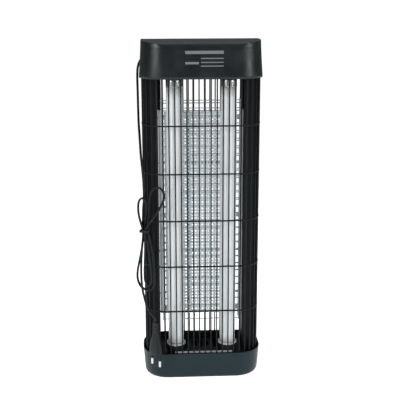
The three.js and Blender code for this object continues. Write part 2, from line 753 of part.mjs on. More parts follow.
function plugPin(side, radius, z0, z1) {
  const geometry = spun([[0, z0], [radius, z0], [radius, z1], [0, z1]], 12);
  return toSolid(placePlug(geometry.translate(side * PLUG_PIN.spread, 0, 0)));
}

add('plug_body', makePlugBody(), cordPvc);
for (const [label, side] of SIDES) {
  const { radius, length } = PLUG_PIN;
  add(`plug_pin_${label}`, plugPin(side, radius, PLUG.face - length, PLUG.face + 6.6), pinNickel);
}

export default insectKiller;
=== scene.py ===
# %% [markdown]
# # Electric insect killer lamp
# A hood holds the electrics, a barred guard stands round two upright tubes and a high-voltage grid,
# and a catch tray hangs underneath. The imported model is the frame: every piece made here takes its
# place from it and rides on one of its bodies.

# %% Load the frame
import math

import bmesh
import bpy
from mathutils import Matrix, Vector


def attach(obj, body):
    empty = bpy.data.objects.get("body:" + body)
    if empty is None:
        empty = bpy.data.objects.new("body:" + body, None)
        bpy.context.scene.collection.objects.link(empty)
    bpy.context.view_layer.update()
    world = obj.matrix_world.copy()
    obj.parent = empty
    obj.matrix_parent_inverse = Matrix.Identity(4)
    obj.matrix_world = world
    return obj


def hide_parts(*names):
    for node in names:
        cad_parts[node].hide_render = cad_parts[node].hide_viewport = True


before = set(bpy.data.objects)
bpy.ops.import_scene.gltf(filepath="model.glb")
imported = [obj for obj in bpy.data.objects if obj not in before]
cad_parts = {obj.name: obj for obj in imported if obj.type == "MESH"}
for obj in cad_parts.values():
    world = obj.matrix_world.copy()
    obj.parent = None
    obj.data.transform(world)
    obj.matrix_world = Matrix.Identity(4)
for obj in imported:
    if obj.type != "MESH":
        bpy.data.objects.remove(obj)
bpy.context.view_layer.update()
MM = 0.001  # shapes are drawn in millimetres and scaled once, when they become objects

# %% [markdown]
# ## Camera
# The lamp is seen a little from above and almost square on, through a short telephoto lens. The
# camera's axes are worked out from its pan and tilt, so its place and aim can be read as angles.

# %% Camera
CAMERA_PLACE = (-0.0747, -1.3708, 0.6498)
LENS_MM = 77.4
PAN, TILT, ROLL = (math.radians(a) for a in (3.07, 14.48, -0.11))


def camera_axes(pan, tilt, roll):
    ahead = Vector((math.sin(pan) * math.cos(tilt), math.cos(pan) * math.cos(tilt), -math.sin(tilt)))
    level = Vector((math.cos(pan), -math.sin(pan), 0))
    upright = level.cross(ahead)
    right = level * math.cos(roll) + upright * math.sin(roll)
    up = upright * math.cos(roll) - level * math.sin(roll)
    return Matrix((right, up, -ahead)).transposed()


camera = bpy.data.objects.new("camera", bpy.data.cameras.new("camera"))
bpy.context.scene.collection.objects.link(camera)
camera.matrix_world = Matrix.Translation(CAMERA_PLACE) @ camera_axes(PAN, TILT, ROLL).to_4x4()
camera.data.lens = LENS_MM
camera.data.clip_start = 0.05
bpy.context.scene.camera = camera
print("camera looks along", [round(c, 3) for c in -camera.matrix_world.col[2].xyz])

# %% [markdown]
# ## Materials
# Colours are sRGB hex values, turned to linear once. One helper adds a node with its properties and
# its sockets: a socket is either given a value or fed by another node's output.

# %% Colour and node helpers


def linear(colour):
    """A hex colour such as 2d2e32 as linear red, green, blue and alpha."""
    parts = [int(colour[i : i + 2], 16) / 255 for i in (0, 2, 4)]
    return [c / 12.92 if c <= 0.04045 else ((c + 0.055) / 1.055) ** 2.4 for c in parts] + [1]


def add(tree, kind, sockets=None, **properties):
    made = tree.nodes.new("ShaderNode" + kind)
    for name, value in properties.items():
        setattr(made, name, value)
    for name, value in (sockets or {}).items():
        if isinstance(value, bpy.types.NodeSocket):
            tree.links.new(value, made.inputs[name])
        else:
            made.inputs[name].default_value = value
    return made


def per_mm(size):
    """The texture scale whose features are this many millimetres across."""
    return 1 / (size * MM)


def new_material(name, **sockets):
    material = bpy.data.materials.new(name)
    material.use_nodes = True
    shader = material.node_tree.nodes["Principled BSDF"]
    for socket, value in sockets.items():
        shader.inputs[socket.replace("_", " ")].default_value = value
    return material, material.node_tree, shader


# %% [markdown]
# ### Moulded plastic
# The hood, guard, decks and tray are injection-moulded ABS. The mould is spark-eroded, so the skin
# has a fine pebble grain that softens its gloss, and handling leaves faint rubbed patches where the
# grain is polished. Grain is a noise bump, rubs are a slow noise on roughness, and a little pale
# dust lies where faces look up.

# %% Moulded plastic


def moulded(name, colour, dusty, roughness, grain=0.7, depth=0.05, dust=0.25, rubs=26.0, shine=0.3):
    material, tree, shader = new_material(name, Roughness=roughness, IOR=1.53, Specular_IOR_Level=shine)
    place = add(tree, "TexCoord").outputs["Object"]
    slow = add(tree, "TexNoise", {"Vector": place, "Scale": per_mm(rubs), "Detail": 4.0})
    fine = add(tree, "TexNoise", {"Vector": place, "Scale": per_mm(grain), "Detail": 2.0})
    rub = add(tree, "MapRange", {
        "Value": slow.outputs["Fac"], "From Min": 0.35, "From Max": 0.7,
        "To Min": roughness - 0.07, "To Max": roughness + 0.09,
    })
    tree.links.new(rub.outputs["Result"], shader.inputs["Roughness"])
    facing = add(tree, "SeparateXYZ", {0: add(tree, "NewGeometry").outputs["Normal"]})
    upward = add(tree, "MapRange", {
        "Value": facing.outputs["Z"], "From Min": 0.5, "From Max": 1.0, "To Max": dust,
    })
    settled = add(tree, "Math", {0: upward.outputs["Result"], 1: slow.outputs["Fac"]}, operation="MULTIPLY")
    tint = add(tree, "MapRange", {"Value": slow.outputs["Fac"], "To Max": 0.12})
    share = add(tree, "Math", {0: settled.outputs[0], 1: tint.outputs["Result"]}, operation="ADD")
    paint = add(tree, "Mix", {
        0: share.outputs[0], 6: linear(colour), 7: linear(dusty),
    }, data_type="RGBA")
    tree.links.new(paint.outputs[2], shader.inputs["Base Color"])
    bump = add(tree, "Bump", {
        "Height": fine.outputs["Fac"], "Distance": depth * MM, "Strength": 0.6,
    })
    tree.links.new(bump.outputs["Normal"], shader.inputs["Normal"])
    return material


hood_abs = moulded("abs_charcoal_spark_grain", "0e1214", "272d2f", 0.38, dust=0.03)
guard_abs = moulded("abs_black_moulded", "07090b", "2c3235", 0.5, dust=0.1, shine=0.16)
tray_abs = moulded("abs_slate_spark_grain", "0a1c21", "33444a", 0.4, dust=0.1, shine=0.18)
holder_pbt = moulded("pbt_black_moulded", "0d0f11", "3c4042", 0.5, grain=0.5, shine=0.2)
rail_phenolic = moulded("phenolic_grey_moulded", "c6cbcd", "d6d9d9", 0.5, grain=0.5)
terminal_nylon = moulded("nylon_ivory_moulded", "dad7cb", "efeee8", 0.45, grain=0.4)
cord_pvc = moulded("pvc_black_extruded", "0a1011", "2c3333", 0.5, grain=0.9, depth=0.03, dust=0.12,
                   rubs=18.0, shine=0.2)
lead_pvc = moulded("pvc_brown_extruded", "5e2420", "7d4a44", 0.5, grain=0.6)
print("materials so far:", len(bpy.data.materials))

# %% [markdown]
# ### Lamp glass
# A tube's colour is the phosphor baked on the inside of clear soda-lime glass: a soft off-white
# under a hard, smooth coat. Near each end the electrodes have darkened the coating.

# %% Lamp glass
GLASS_LOW, GLASS_HIGH = 52.3, 484.7  # between the end cups


def phosphor_glass():
    material, tree, shader = new_material("glass_phosphor_coated", Roughness=0.5, IOR=1.52)
    shader.inputs["Coat Weight"].default_value = 0.25
    shader.inputs["Coat Roughness"].default_value = 0.2
    place = add(tree, "TexCoord").outputs["Object"]
    height = add(tree, "SeparateXYZ", {0: place}).outputs["Z"]
    middle = (GLASS_LOW + GLASS_HIGH) / 2 * MM
    half = (GLASS_HIGH - GLASS_LOW) / 2 * MM
    off = add(tree, "Math", {0: height, 1: middle}, operation="SUBTRACT")
    far = add(tree, "Math", {0: off.outputs[0]}, operation="ABSOLUTE")
    cloud = add(tree, "TexNoise", {"Vector": place, "Scale": per_mm(14), "Detail": 3.0})
    waver = add(tree, "Math", {0: cloud.outputs["Fac"], 1: 0.012}, operation="MULTIPLY")
    edge = add(tree, "Math", {0: far.outputs[0], 1: waver.outputs[0]}, operation="ADD")
    burnt = add(tree, "MapRange", {
        "Value": edge.outputs[0], "From Min": half - 0.014, "From Max": half + 0.006, "To Max": 0.75,
    }, interpolation_type="SMOOTHSTEP")
    coating = add(tree, "Mix", {
        0: cloud.outputs["Fac"], 6: linear("d7dcde"), 7: linear("e2e5e6"),
    }, data_type="RGBA")
    paint = add(tree, "Mix", {
        0: burnt.outputs["Result"], 6: coating.outputs[2], 7: linear("7c7972"),
    }, data_type="RGBA")
    tree.links.new(paint.outputs[2], shader.inputs["Base Color"])
    return material


lamp_glass = phosphor_glass()
print("lamp glass:", lamp_glass.name)

# %% [markdown]
# ### Metals
# Wires and sheet are hot-dip galvanised steel, whose zinc freezes in flat crystals, the spangle, a
# few millimetres across. In the open air the zinc dulls to a pale bloom, so these two are only
# partly bare metal. Drawn and turned metals show fine lines along or round the piece instead,
# so their noise is stretched.

# %% Metals


def metal(name, colour, shade, roughness, grain, stretch=(1, 1, 1), crystals=False, bare=1.0):
    material, tree, shader = new_material(name, Metallic=bare, Roughness=roughness)
    place = add(tree, "TexCoord").outputs["Object"]
    drawn = add(tree, "Mapping", {"Vector": place, "Scale": stretch})
    if crystals:
        cells = add(tree, "TexVoronoi", {"Vector": drawn.outputs[0], "Scale": per_mm(grain)})
        pattern = add(tree, "SeparateColor", {0: cells.outputs["Color"]}).outputs["Red"]
    else:
        pattern = add(tree, "TexNoise", {
            "Vector": drawn.outputs[0], "Scale": per_mm(grain), "Detail": 3.0,
        }).outputs["Fac"]
    paint = add(tree, "Mix", {0: pattern, 6: linear(colour), 7: linear(shade)}, data_type="RGBA")
    tree.links.new(paint.outputs[2], shader.inputs["Base Color"])
    gloss = add(tree, "MapRange", {
        "Value": pattern, "To Min": roughness - 0.08, "To Max": roughness + 0.1,
    })
    tree.links.new(gloss.outputs["Result"], shader.inputs["Roughness"])
    bump = add(tree, "Bump", {"Height": pattern, "Distance": 0.02 * MM, "Strength": 0.5})
    tree.links.new(bump.outputs["Normal"], shader.inputs["Normal"])
    return material


galvanised = metal("steel_galvanised_spangle", "f0f6f9", "e4eef2", 0.6, 6, crystals=True, bare=0.05)
wire_steel = metal("steel_wire_zinc_plated", "c4cdd1", "aab4b8", 0.45, 2, stretch=(0.1, 1, 1), bare=0.3)
cap_aluminium = metal("aluminium_drawn_cup", "b9bbbc", "9a9c9d", 0.32, 0.6, stretch=(1, 1, 0.15))
core_steel = metal("steel_silicon_laminated", "6d7073", "4a4d50", 0.5, 0.5, stretch=(0.05, 1, 0.05))
winding_copper = metal("copper_enamelled_winding", "b4652d", "8a4a20", 0.36, 0.5, stretch=(0.05, 0.05, 1))
screw_zinc = metal("steel_screw_zinc_plated", "c6c9cb", "a5a9ab", 0.3, 0.5)
pin_nickel = metal("brass_nickel_plated", "cfd6d6", "b3baba", 0.22, 0.6, stretch=(1, 1, 0.2))
pin_brass = metal("brass_turned_pin", "c9a85c", "a98940", 0.28, 0.5)
print("materials so far:", len(bpy.data.materials))

# %% [markdown]
# ### Resins, ink, painted highlight and floor
# The collar round each tube's foot is natural polycarbonate, which lets a little light in. The
# starter cans are white polycarbonate. The print on the hood is a thin layer of grey pad ink, and
# the pale grey strip in the guard's foot is a painted highlight, standing for the light that the
# tray's rim catches between the bars. The floor is white acrylic, lit from beneath. All five are one
# colour with a faint cloud in it.

# %% Resins, ink, painted highlight and floor


def tinted(name, colour, shade, roughness, grain, **sockets):
    material, tree, shader = new_material(name, Roughness=roughness, **sockets)
    place = add(tree, "TexCoord").outputs["Object"]
    cloud = add(tree, "TexNoise", {"Vector": place, "Scale": per_mm(grain), "Detail": 3.0})
    paint = add(tree, "Mix", {
        0: cloud.outputs["Fac"], 6: linear(colour), 7: linear(shade),
    }, data_type="RGBA")
    tree.links.new(paint.outputs[2], shader.inputs["Base Color"])
    bump = add(tree, "Bump", {"Height": cloud.outputs["Fac"], "Distance": 0.03 * MM, "Strength": 0.4})
    tree.links.new(bump.outputs["Normal"], shader.inputs["Normal"])
    return material


collar_pc = tinted("polycarbonate_natural", "dfe2e1", "c8cccb", 0.3, 3, Transmission_Weight=0.35, IOR=1.58)
starter_pc = tinted("polycarbonate_white_moulded", "e2e3e3", "d2d4d4", 0.35, 4, IOR=1.58)
print_ink = tinted("ink_grey_pad_printed", "66696b", "595c5e", 0.55, 0.8, IOR=1.5)
# A pale grey for the strip that paints in the highlight the tray's rim catches between the front bars.
rim_highlight_grey = tinted("painted_rim_highlight_grey", "a8a9ae", "939499", 0.8, 2, IOR=1.5)
floor_acrylic = tinted("acrylic_white_backlit", "f7f7f7", "f1f1f1", 0.9, 300,
                       Emission_Color=(1, 1, 1, 1), Emission_Strength=0.7)
print("materials so far:", len(bpy.data.materials))

# %% [markdown]
# ## Making pieces
# Every piece is drawn in a bmesh in millimetres. `as_piece` scales it, gives it its finish, says
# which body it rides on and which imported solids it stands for, and shades it smooth except where
# two faces meet at a real edge.

# %% From bmesh to piece


def as_piece(bm, name, material, body, stands_for=(), crease=32.0):
    bmesh.ops.scale(bm, vec=(MM, MM, MM), verts=bm.verts)
    mesh = bpy.data.meshes.new(name)
    bm.to_mesh(mesh)
    bm.free()
    mesh.polygons.foreach_set("use_smooth", [True] * len(mesh.polygons))
    mesh.set_sharp_from_angle(angle=math.radians(crease))
    piece = bpy.data.objects.new(name, mesh)
    bpy.context.scene.collection.objects.link(piece)
    for one in material if isinstance(material, list) else [material]:
        mesh.materials.append(one)
    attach(piece, body)
    if stands_for:
        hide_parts(*stands_for)
    return piece


def rounded_edges(piece, width, segments=2, angle=40.0):
    bevel = piece.modifiers.new("edge_radius", "BEVEL")
    bevel.width = width * MM
    bevel.segments = segments
    bevel.limit_method = "ANGLE"
    bevel.angle_limit = math.radians(angle)
    bevel.harden_normals = True
    return piece


def closed(bm):
    """Merges what coincides and turns every face outwards."""
    bmesh.ops.remove_doubles(bm, verts=bm.verts, dist=0.001)
    bmesh.ops.recalc_face_normals(bm, faces=bm.faces)
    return bm


def everything(bm):
    return list(bm.verts) + list(bm.edges) + list(bm.faces)


def verts_of(geom):
    return [g for g in geom if isinstance(g, bmesh.types.BMVert)]


def edges_of(geom):
    return [g for g in geom if isinstance(g, bmesh.types.BMEdge)]


# %% [markdown]
# ## Mains cord
# A flat twin cord leaves a strain relief at the hood's rear left corner, comes forward over the
# end, and is tied in a hank that hangs on the guard's front left corner, with its plug in the tray.
# It is one length of cord, so it is drawn as one route: down through the tie, round the long lower
# loop, up through the tie, and so on, five passes in all. Two passes side by side in front and
# three behind leave each strand its own room in the tie.

# %% Where the hank hangs
HANK_CENTRE = Vector((-92.5, -42.0, 0))
HANK_TURN = math.radians(-20)
HANK_ACROSS = Vector((math.cos(HANK_TURN), math.sin(HANK_TURN), 0))
HANK_TO_FRONT = Vector((math.sin(HANK_TURN), -math.cos(HANK_TURN), 0))
CORD_WIDTH, CORD_THICKNESS = 5.4, 3.4


def in_hank(across, front, height):
    return HANK_CENTRE + HANK_ACROSS * across + HANK_TO_FRONT * front + Vector((0, 0, height))


SUPPLY = [
    (-89.0, 65.7, 524), (-92.0, 69.5, 522.6), (-96.6, 69.5, 517.5), (-100.2, 62, 508),
    (-101.2, 50, 494), (-100.8, 38, 474), (-100.4, 26, 450), (-99.8, 12, 424), (-98.2, -6, 400),
    (-96.8, -22, 378), (-94.6, -34, 356), (-93.2, -40.6, 338), (-92.9, -42, 325.6),
]
LONG_LOOP = [  # from the supply down and back up, behind
    (-1.6, -2.6, 308), (-3.2, -2.8, 290), (-3.8, -2.8, 272), (-3.6, -2.8, 256.7),
    (-4.2, -2.8, 244), (-7, -2.8, 224), (-10.6, -2.8, 206), (-14.1, -3, 190), (-15.3, -3, 176),
    (-13.2, -3.2, 166), (-8.8, -3.2, 159), (-3, -3.2, 155.6), (4, -3.2, 154.2), (9.6, -3.2, 156.2),
    (13.4, -3, 164), (14.4, -2.8, 182), (13, -2.8, 205), (9.8, -2.8, 229), (6.2, -2.8, 246),
    (3.9, -2.8, 256.7),
]
WIDE_LOOP = [  # up to the right and back down in front
    (4.6, -2.8, 266), (6.4, -2.8, 280), (7.8, -2.8, 296), (8.8, -2.4, 311), (12, -1.6, 322),
    (19, -0.6, 328.6), (27, 0.6, 329), (33.2, 1.8, 323), (34.4, 2.6, 314), (30, 2.8, 302),
    (20.5, 2.8, 286), (10, 2.8, 271), (4.2, 2.8, 262.5), (1.9, 2.8, 256.7),
]
SHORT_LOOP = [  # down in front and back up behind
    (1.3, 2.8, 246), (1.2, 2.8, 228), (0.4, 2.8, 206), (-0.4, 2.8, 186), (0.8, 2.8, 171),
    (5.2, 2.6, 163.6), (10, 2.2, 168), (11.4, 1.8, 181), (9.6, 1, 200), (6.6, -0.6, 220),
    (3.6, -2.4, 237), (1, -2.8, 248), (0.1, -2.8, 256.7),
]
NARROW_LOOP = [  # up behind and back down in front
    (0.4, -2.8, 268), (2.6, -2.2, 284), (3.9, -0.4, 296), (2.4, 1.8, 306.4), (-2.4, 2.9, 311.2),
    (-7.4, 2.9, 306.4), (-9.4, 2.8, 294), (-7.6, 2.8, 278), (-3.7, 2.8, 265), (-1.9, 2.8, 256.7),
]
LAST_RUN = [  # down in front to the plug
    (-2.2, 2.8, 246), (-4, 2.8, 230), (-5.4, 2.8, 212), (-6.2, 2.8, 194), (-6.2, 2.8, 178),
    (-5.6, 2.7, 164), (-4.9, 1.8, 156),
]
TAIL = [
    (-96.8, -40.5, 149.4), (-95.2, -42.5, 143), (-91.7, -48, 132), (-86.4, -55, 123),
    (-80.2, -60.6, 116.6), (-77.5, -62.4, 111.6), (-77.4, -62.5, 107),
]
hanked = [in_hank(*p) for p in LONG_LOOP + WIDE_LOOP + SHORT_LOOP + NARROW_LOOP + LAST_RUN]
cord_points = [Vector(p) for p in SUPPLY] + hanked + [Vector(p) for p in TAIL]
print("cord points:", len(cord_points))

# %% [markdown]
# The route is smoothed with a centripetal Catmull-Rom curve, which passes through every point and
# makes no loops of its own where the points crowd, and is then stepped evenly.

# %% A smooth, evenly stepped route


def between(p, t):
    """The point where a share t of the way from p[1] to p[2] lies on the smooth curve through all four."""
    knots = [0.0]
    for a, b in zip(p, p[1:]):
        knots.append(knots[-1] + max((b - a).length, 1e-6) ** 0.5)
    at = knots[1] + t * (knots[2] - knots[1])

    def mix(a, b, i, j):
        return (a * (knots[j] - at) + b * (at - knots[i])) / (knots[j] - knots[i])

    first = [mix(p[i], p[i + 1], i, i + 1) for i in range(3)]
    second = [mix(first[i], first[i + 1], i, i + 2) for i in range(2)]
    return mix(second[0], second[1], 1, 2)


def stepped(points, step, parts=12):
    ends = [points[0] * 2 - points[1], *points, points[-1] * 2 - points[-2]]
    fine = [between(ends[i : i + 4], k / parts) for i in range(len(points) - 1) for k in range(parts)]
    fine.append(points[-1])
    out, walked, due = [fine[0]], 0.0, step
    for a, b in zip(fine, fine[1:]):
        long = (b - a).length
        while walked + long >= due:
            out.append(a.lerp(b, (due - walked) / long))
            due += step
        walked += long
    if (out[-1] - fine[-1]).length > step / 2:
        out.append(fine[-1])
    else:
        out[-1] = fine[-1]
    return out


CORD_STEP = 2.5
route = stepped(cord_points, CORD_STEP)

# %% [markdown]
# The tube is made as an extruder makes it: one oval section, pushed along the route. Its wide side
# always faces out of the hank, because a flat cord bends over its thin side.

# %% Sweep the section along the route


def section_places(line, facing):
    """A matrix for each point: X across the cord's thickness, Y along its width, Z along the cord."""
    places = []
    for i, point in enumerate(line):
        along = (line[min(i + 1, len(line) - 1)] - line[max(i - 1, 0)]).normalized()
        wide = (facing - along * facing.dot(along)).normalized()
        turn = Matrix((wide.cross(along), wide, along)).transposed().to_4x4()
        places.append(Matrix.Translation(point) @ turn)
    return places


def swept(bm, places, half_thickness, half_width, sides=14):
    section = Matrix.Diagonal((half_thickness, half_width, 1, 1))
    ring = bmesh.ops.create_circle(bm, cap_ends=True, radius=1, segments=sides, matrix=places[0] @ section)
    edges = list({e for v in ring["verts"] for e in v.link_edges})
    for here, there in zip(places, places[1:]):
        pushed = bmesh.ops.extrude_edge_only(bm, edges=edges)["geom"]
        edges = edges_of(pushed)
        bmesh.ops.transform(bm, matrix=there @ here.inverted(), verts=verts_of(pushed))
    bmesh.ops.contextual_create(bm, geom=edges)


bm = bmesh.new()
swept(bm, section_places(route, HANK_TO_FRONT), CORD_THICKNESS / 2, CORD_WIDTH / 2)
mains_cord = as_piece(closed(bm), "mains_cord", cord_pvc, "lamp_body",
                      ["cord_supply", "cord_hank", "cord_tail"], crease=60)
print("mains cord faces:", len(mains_cord.data.polygons))

# %% [markdown]
# ## Turned pieces
# Anything round is drawn as half its outline, in pairs of radius and height, and spun about an
# upright axis. A matrix then lays it where it belongs.

# %% Spin an outline


def turned(bm, outline, place=None, steps=40):
    verts = [bm.verts.new((radius, 0, height)) for radius, height in outline]
    edges = [bm.edges.new(pair) for pair in zip(verts, verts[1:])]
    bmesh.ops.spin(bm, geom=verts + edges, cent=(0, 0, 0), axis=(0, 0, 1), dvec=(0, 0, 0),
                   angle=math.tau, steps=steps, use_merge=True)
    every = {v for v in verts if v.is_valid}
    todo = list(every)
    while todo:
        for edge in todo.pop().link_edges:
            for v in edge.verts:
                if v not in every:
                    every.add(v)
                    todo.append(v)
    bmesh.ops.transform(bm, matrix=place or Matrix(), verts=list(every))


# %% [markdown]
# ## Strain relief, tie and plug
# The relief is a soft PVC sleeve moulded on the cord, with grooves round it so that it bends a
# little at each. The plug is the flat two-pin kind, moulded round its pins, and each pin keeps an
# insulating sleeve next to the body.

# %% Strain relief
GLAND_WAY = Vector((-0.5, math.sqrt(0.75), 0))
GLAND_HEIGHT, WALL_WIDTH, WALL_DEPTH, WALL_CORNER = 524, 96.2, 49, 38  # the hood's half sizes there
corner_centre = Vector((WALL_CORNER - WALL_WIDTH, WALL_DEPTH - WALL_CORNER, GLAND_HEIGHT))
GLAND_SEAT = corner_centre + GLAND_WAY * WALL_CORNER
GROOVES, GROOVE_PITCH, GROOVE_TAPER = 5, 3.9, 0.24
gland_place = Matrix.Translation(GLAND_SEAT) @ GLAND_WAY.to_track_quat("Z", "Y").to_matrix().to_4x4()
relief = [
    (0, -8.6), (4.6, -8.6), (4.8, -8), (4.8, 0.5), (6.9, 0.5), (7.4, 1), (7.4, 2.4), (6.8, 3), (5.2, 3.4),
]
for groove in range(GROOVES):
    start = 4.6 + groove * GROOVE_PITCH
    radius = 4.5 - groove * GROOVE_TAPER
    relief += [
        (radius, start), (radius - 0.06, start + 2.2), (radius - 0.95, start + 2.5),
        (radius - 1, start + 3.6),
    ]
relief += [(3.5, 23.6), (3.1, 24), (0, 24)]
bm = bmesh.new()
turned(bm, relief, gland_place)
strain_relief = as_piece(closed(bm), "strain_relief", cord_pvc, "lamp_body", ["cord_gland"])
print("strain relief seat, mm:", [round(c, 1) for c in GLAND_SEAT])

# %% Plug
PLUG_PLACE = Matrix.Translation((-77.4, -62.5, 0)) @ Matrix.Rotation(math.radians(-48), 4, "Z")
PLUG_FACE, PLUG_WIDTH, PLUG_THICKNESS = 50, 25, 12.5
PLUG_PIN_OFFSET = 9.3
PLUG_SHAPE = [
    (0.6, 1.0), (8, 0.99), (16, 0.94), (24, 0.76), (31, 0.59), (37, 0.5), (38.2, 0.43), (40, 0.43),
    (40.4, 0.49), (43.6, 0.48), (44, 0.42), (45.8, 0.42), (46.2, 0.47), (49.4, 0.46), (49.8, 0.4),
    (51.6, 0.4), (52, 0.44), (56.6, 0.42),
]


def plate(bm, half_width, half_depth, corner, height, segments=12):
    """A flat face with rounded corners, at a height."""
    corners = bmesh.ops.create_grid(bm, x_segments=1, y_segments=1, size=1)["verts"]
    bmesh.ops.scale(bm, vec=(half_width, half_depth, 1), verts=corners)
    bmesh.ops.translate(bm, vec=(0, 0, height), verts=corners)
    cut = bmesh.ops.bevel(bm, geom=corners, offset=corner, offset_type="OFFSET", affect="VERTICES",
                          segments=segments, profile=0.5, material=-1)
    return next(f for v in cut["verts"] for f in v.link_faces)


def raised(bm, edges, factor, rise):
    """Draws a ring of edges up to the next level, growing or shrinking it on the way."""
    pushed = bmesh.ops.extrude_edge_only(bm, edges=edges)["geom"]
    verts = verts_of(pushed)
    bmesh.ops.scale(bm, vec=(*factor, 1), verts=verts)
    bmesh.ops.translate(bm, vec=(0, 0, rise), verts=verts)
    return edges_of(pushed)


bm = bmesh.new()
edges = list(plate(bm, PLUG_WIDTH / 2, PLUG_THICKNESS / 2, PLUG_THICKNESS / 2 - 0.05, PLUG_FACE).edges)
level, scale = 0.0, 0.96
bmesh.ops.scale(bm, vec=(scale, scale, 1), verts=bm.verts)
for height, size in PLUG_SHAPE:
    edges = raised(bm, edges, (size / scale, size / scale), height - level)
    level, scale = height, size
bmesh.ops.contextual_create(bm, geom=edges)
bmesh.ops.transform(bm, matrix=PLUG_PLACE, verts=bm.verts)
plug_body = as_piece(closed(bm), "plug_moulding", cord_pvc, "lamp_body", ["plug_body"])

for side, label in ((-1, "left"), (1, "right")):
    bm = bmesh.new()
    turned(bm, [(0, 31), (1.2, 31), (1.8, 31.5), (2, 32.4), (2, 41.4)], steps=24)
    bare = len(bm.faces)
    turned(bm, [(2, 41.4), (1.98, 41.5), (1.98, 56.6), (0, 56.6)], steps=24)
    bm.faces.ensure_lookup_table()
    for face in bm.faces[bare:]:
        face.material_index = 1
    pin_place = PLUG_PLACE @ Matrix.Translation((side * PLUG_PIN_OFFSET, 0, 0))
    bmesh.ops.transform(bm, matrix=pin_place, verts=bm.verts)
    as_piece(closed(bm), f"plug_pin_turned_{label}", [pin_nickel, cord_pvc],
                              "lamp_body", [f"plug_pin_{label}"])

# %% [markdown]
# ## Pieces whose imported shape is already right
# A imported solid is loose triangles. A copy is merged, its flat faces are joined again, and its
# edges get the small radius that a mould or a press leaves.

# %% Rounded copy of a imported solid


def softened(name, node, material, body="lamp_body", radius=0.4, segments=2):
    bm = bmesh.new()
    bm.from_mesh(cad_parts[node].data)
    bmesh.ops.scale(bm, vec=(1 / MM, 1 / MM, 1 / MM), verts=bm.verts)
    bmesh.ops.remove_doubles(bm, verts=bm.verts, dist=0.01)
    bmesh.ops.dissolve_limit(bm, angle_limit=math.radians(1), verts=bm.verts, edges=bm.edges)
    piece = as_piece(bm, name, material, body, [node])
    return rounded_edges(piece, radius, segments)


hank_tie = softened("hank_tie", "cord_tie", cord_pvc, radius=0.5)

# %% [markdown]
# ## Hood
# The hood is one deep ABS moulding, open below. Its wall is drawn up from the mouth, closed on top
# and pressed down onto a low crown that runs the whole width, with a rolled edge in front and
# behind. Solidify gives it its thickness, so that the inside follows the outside as a mould's core
# follows its cavity. A shallow step under the rolled edge is where the lid is welded on.

# %% Hood shell
HOOD_CORNER = 38.6
HOOD_LEVELS = [  # height, half width, half depth
    (499, 97.7, 49.5), (503, 97.45, 49.45), (507, 97.2, 49.4), (514, 96.65, 49.2), (521, 96.2, 49),
    (535, 95.3, 48.7), (545.4, 94.8, 48.6), (545.7, 94.45, 48.25), (546.4, 94.42, 48.2),
    (546.7, 94.75, 48.5), (550, 94.6, 48.4), (553, 94.5, 48.1), (555.6, 94.4, 47.4),
    (556.4, 94.15, 46.6), (557, 93.4, 45.5),
]
HOOD_CROWN = [  # distance from the middle, height
    (0, 557), (21, 556.3), (34, 555.1), (42.6, 554), (45.5, 553), (47.4, 551), (48.6, 547.5), (60, 489),
]
CROWN_CUTS = (0, 10, 21, 28, 34, 39, 42.6, 44.2, 45.5, 46.6)


def crown_height(y):
    far = abs(y)
    for (y0, z0), (y1, z1) in zip(HOOD_CROWN, HOOD_CROWN[1:]):
        if far <= y1:
            return z0 + (z1 - z0) * (far - y0) / (y1 - y0)
    return HOOD_CROWN[-1][1]


def drawn_shell(bm, levels, corner, open_below=True):
    """A wall drawn up through (height, half width, half depth) levels. Returns its last edges."""
    height, width, depth = levels[0]
    face = plate(bm, width, depth, corner, height, 16)
    edges = list(face.edges)
    if open_below:
        bmesh.ops.delete(bm, geom=[face], context="FACES_ONLY")
    for z, w, d in levels[1:]:
        edges = raised(bm, edges, (w / width, d / depth), z - height)
        height, width, depth = z, w, d
    return edges


def walled(piece, thickness, offset=-1):
    wall = piece.modifiers.new("wall_thickness", "SOLIDIFY")
    wall.thickness = thickness * MM
    wall.offset = offset
    wall.use_even_offset = True


bm = bmesh.new()
bmesh.ops.contextual_create(bm, geom=drawn_shell(bm, HOOD_LEVELS, HOOD_CORNER))
for y in [side * far for far in CROWN_CUTS for side in (-1, 1)]:
    bmesh.ops.bisect_plane(bm, geom=everything(bm), dist=0.01, plane_co=(0, y, 0), plane_no=(0, 1, 0))
for vert in bm.verts:
    vert.co.z = min(vert.co.z, crown_height(vert.co.y))
hood = as_piece(closed(bm), "hood_shell", hood_abs, "lamp_body", ["top_hood"], crease=40)
walled(hood, 2.2)
top = max(hood.data.polygons, key=lambda p: p.center.z)
print("hood top faces", "up" if top.normal.z > 0 else "down")

# %% [markdown]
# ### Print on the hood
# The real hood carries a printed mark and some data. Plain bars of the same grey take their place:
# a broad one, a short one, and three thin rules.

# %% Printed bars
FACE_FOOT, FACE_HEAD = (521, 49), (545.4, 48.6)  # height and half depth of the hood's front face
INK_THICKNESS, INK_PROUD = 0.1, 0.02


def front_of_hood(height):
    """How far forward the hood's front face lies at a height."""
    (low, deep), (high, shallow) = FACE_FOOT, FACE_HEAD
    return -(deep - (height - low) * (deep - shallow) / (high - low))


